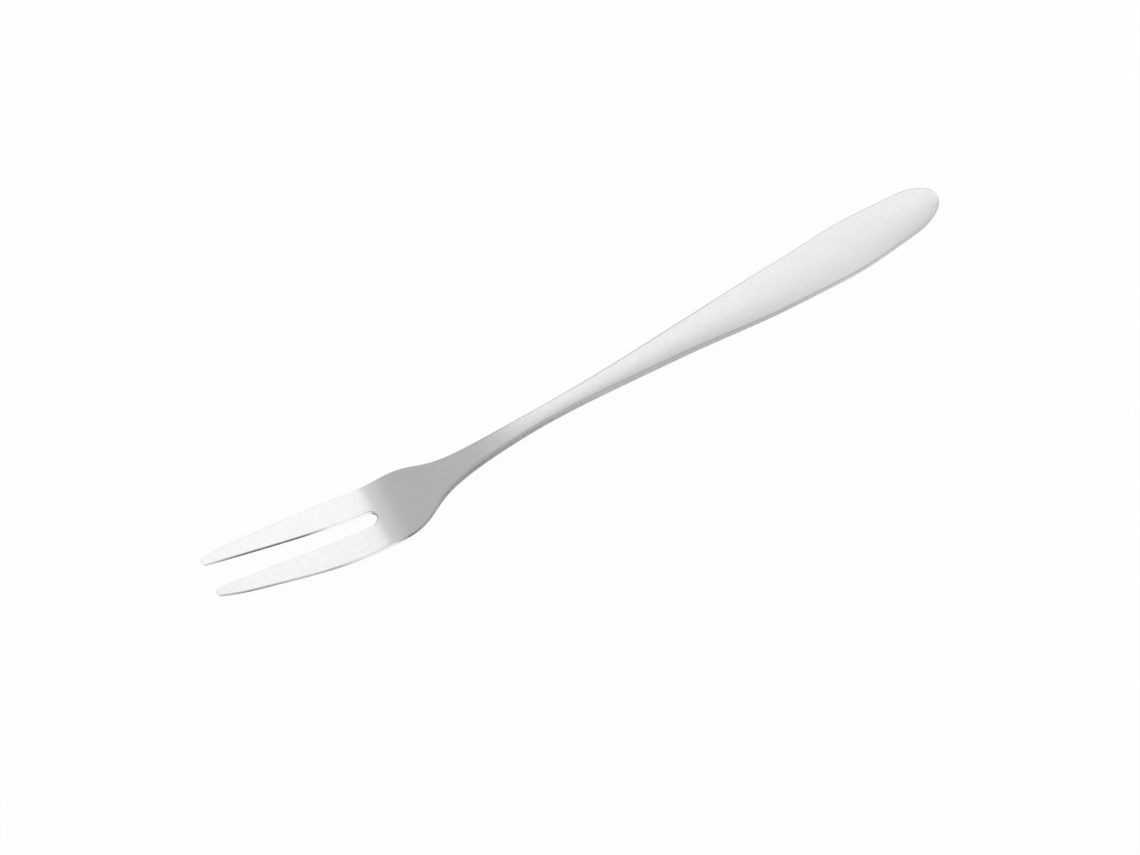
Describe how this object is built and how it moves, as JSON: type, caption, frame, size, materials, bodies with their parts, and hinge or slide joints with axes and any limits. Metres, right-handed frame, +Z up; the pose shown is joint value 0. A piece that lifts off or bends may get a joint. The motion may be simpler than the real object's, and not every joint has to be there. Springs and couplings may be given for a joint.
{
  "type": "two-tine fork",
  "caption": "Slender stainless-steel fruit fork stamped as a single blade: long flared tines, shouldered head, narrow neck and leaf-shaped handle.",
  "frame": {"origin": "on the table, under the middle of the fork's length and on its centre line, with the fork lying tines up", "axes": "+X along the fork towards the end of the handle, +Y across its width, +Z up from the table"},
  "size_m": [0.14, 0.0134, 0.0103],
  "materials": {
    "steel": "satin-polished stainless steel with duller blanked edges"
  },
  "bodies": {
    "root": {"fork": "steel"}
  },
  "joints": []
}
